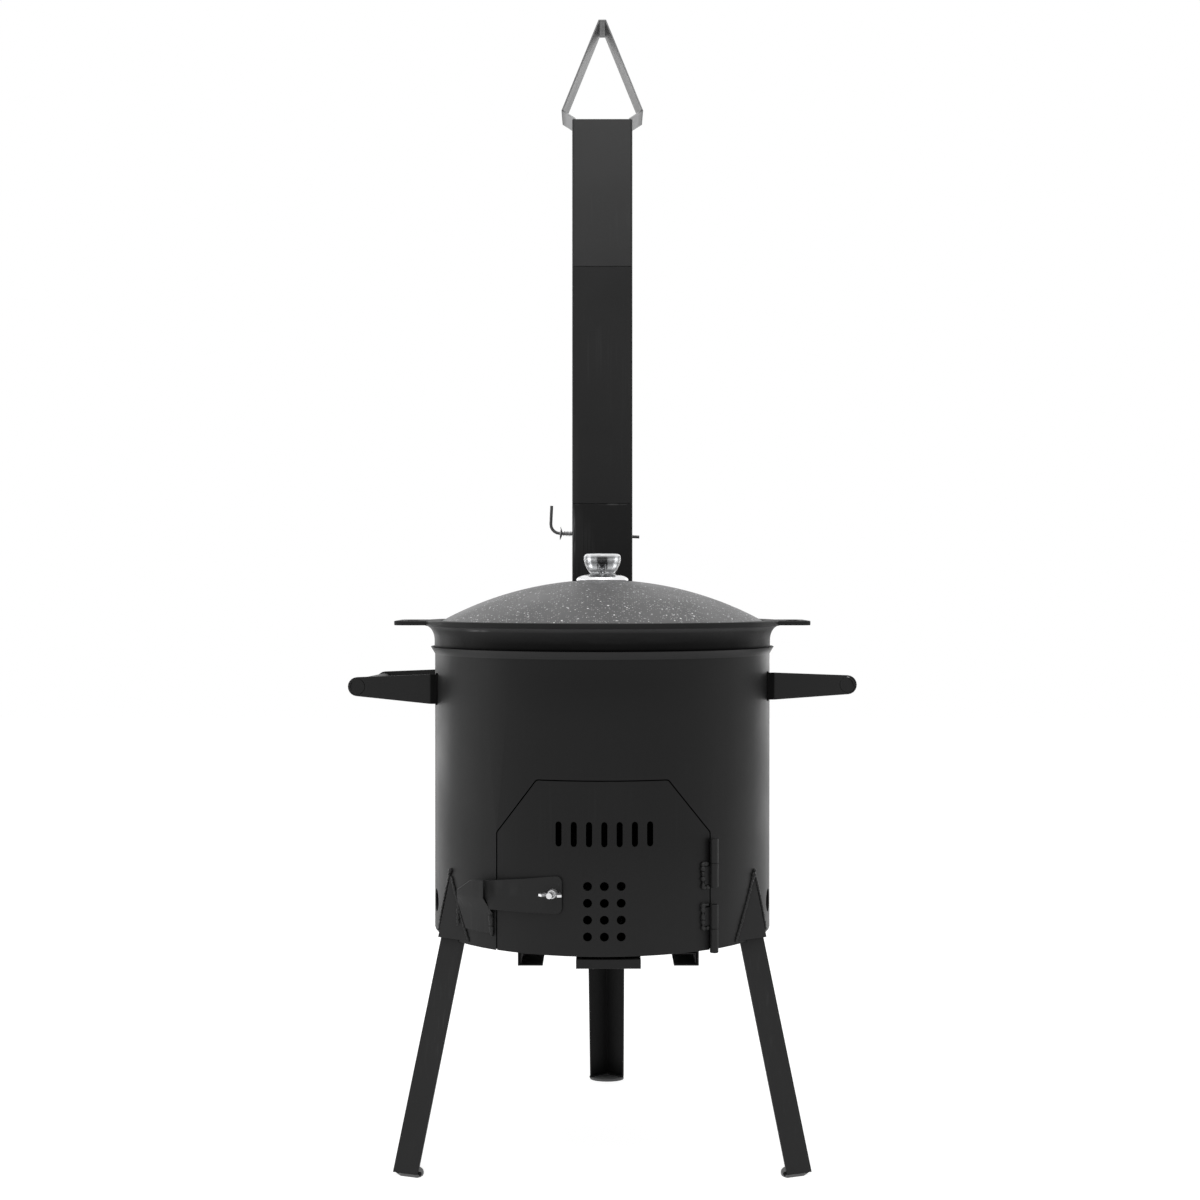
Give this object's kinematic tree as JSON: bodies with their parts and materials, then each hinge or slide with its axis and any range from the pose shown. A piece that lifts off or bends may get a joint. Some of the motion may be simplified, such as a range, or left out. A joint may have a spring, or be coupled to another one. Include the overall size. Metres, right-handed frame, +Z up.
{
  "type": "outdoor cauldron stove",
  "caption": "Round sheet steel wood stove on slip-in legs with a hinged firing door, a latch, a lift-out cauldron with a domed lid, an ash slide and a square chimney with a damper.",
  "frame": {"origin": "on the floor, under the middle of the stove's outline", "axes": "+Z up, the firing door faces -Y, the chimney stands at +Y"},
  "size_m": [0.5404, 0.4606, 1.2735],
  "materials": {
    "black_paint": "satin black heat-resistant paint on sheet steel",
    "cast_iron": "black cast metal",
    "speckled_enamel": "grey speckled stone-effect coating",
    "zinc": "bright zinc plating",
    "polished_steel": "polished steel",
    "clear_glass": "clear glass"
  },
  "bodies": {
    "stove_body": {"drum_shell": "black_paint", "bottom_plate": "black_paint", "grate_lug_left": "black_paint", "grate_lug_right": "black_paint", "grate_lug_rear": "black_paint", "slide_rail_left": "black_paint", "slide_rail_right": "black_paint", "leg_socket_left": "black_paint", "leg_socket_right": "black_paint", "leg_socket_rear": "black_paint", "handle_left_arm_left": "black_paint", "handle_left_arm_right": "black_paint", "handle_right_arm_left": "black_paint", "handle_right_arm_right": "black_paint", "handle_left_grip": "black_paint", "handle_right_grip": "black_paint", "latch_catch": "black_paint", "hinge_upper_pin": "black_paint", "hinge_lower_pin": "black_paint", "flue_neck": "black_paint", "flue_stub": "black_paint", "flue_floor": "black_paint", "stub_sleeve": "black_paint"},
    "grate": {"fire_grate": "cast_iron"},
    "door": {"door_panel": "black_paint", "hinge_upper_knuckle": "black_paint", "hinge_lower_knuckle": "black_paint", "latch_bolt": "zinc"},
    "latch": {"latch_strap": "black_paint"},
    "nut": {"wing_nut": "zinc"},
    "cauldron_body": {"cauldron": "cast_iron"},
    "lid": {"lid_dome": "speckled_enamel", "knob_plate": "polished_steel", "glass_knob": "clear_glass", "knob_screw": "polished_steel"},
    "left_leg": {"leg_left": "black_paint", "foot_left": "black_paint"},
    "right_leg": {"leg_right": "black_paint", "foot_right": "black_paint"},
    "rear_leg": {"leg_rear": "black_paint", "foot_rear": "black_paint"},
    "chimney_lower": {"lower_pipe": "black_paint", "pipe_sleeve": "black_paint"},
    "chimney_upper": {"upper_pipe": "black_paint", "cap_strip": "black_paint"},
    "damper": {"damper_rod": "black_paint", "damper_plate": "black_paint", "damper_spring": "zinc", "damper_washer": "zinc"},
    "slide": {"ash_slide": "black_paint"}
  },
  "joints": [
    {"name": "door_swing", "type": "hinge", "parent": "stove_body", "child": "door", "pos_m": [0.11161, -0.18579, 0.2325], "axis": [0, 0, 1], "range_deg": [0, 120]},
    {"name": "latch_swing", "type": "hinge", "parent": "door", "child": "latch", "pos_m": [-0.0475, -0.21237, 0.2942], "axis": [0.2639, 0.9646, 0], "range_deg": [0, 30]},
    {"name": "wing_nut_turn", "type": "hinge", "parent": "door", "child": "nut", "pos_m": [-0.0475, -0.21237, 0.2942], "axis": [0.2639, 0.9646, 0], "continuous": true},
    {"name": "cauldron_lift", "type": "slide", "parent": "stove_body", "child": "cauldron_body", "axis": [0, 0, 1], "range_m": [0, 0.25]},
    {"name": "lid_lift", "type": "slide", "parent": "cauldron_body", "child": "lid", "axis": [0, 0, 1], "range_m": [0, 0.15]},
    {"name": "grate_lift", "type": "slide", "parent": "stove_body", "child": "grate", "axis": [0, 0, 1], "range_m": [0, 0.06]},
    {"name": "damper_turn", "type": "hinge", "parent": "stove_body", "child": "damper", "pos_m": [0, 0.19425, 0.6577], "axis": [0.999, 0, -0.0454], "range_deg": [0, 90]},
    {"name": "lower_pipe_lift", "type": "slide", "parent": "stove_body", "child": "chimney_lower", "axis": [0, 0, 1], "range_m": [0, 0.1]},
    {"name": "upper_pipe_lift", "type": "slide", "parent": "chimney_lower", "child": "chimney_upper", "axis": [0, 0, 1], "range_m": [0, 0.1]},
    {"name": "leg_left_slide", "type": "slide", "parent": "stove_body", "child": "left_leg", "axis": [-0.1948, -0.1125, -0.9744], "range_m": [0, 0.08]},
    {"name": "leg_right_slide", "type": "slide", "parent": "stove_body", "child": "right_leg", "axis": [0.1948, -0.1125, -0.9744], "range_m": [0, 0.08]},
    {"name": "leg_rear_slide", "type": "slide", "parent": "stove_body", "child": "rear_leg", "axis": [0.0055, 0.2249, -0.9744], "range_m": [0, 0.08]},
    {"name": "ash_slide_pull", "type": "slide", "parent": "stove_body", "child": "slide", "axis": [0, -1, 0], "range_m": [0, 0.12]}
  ]
}
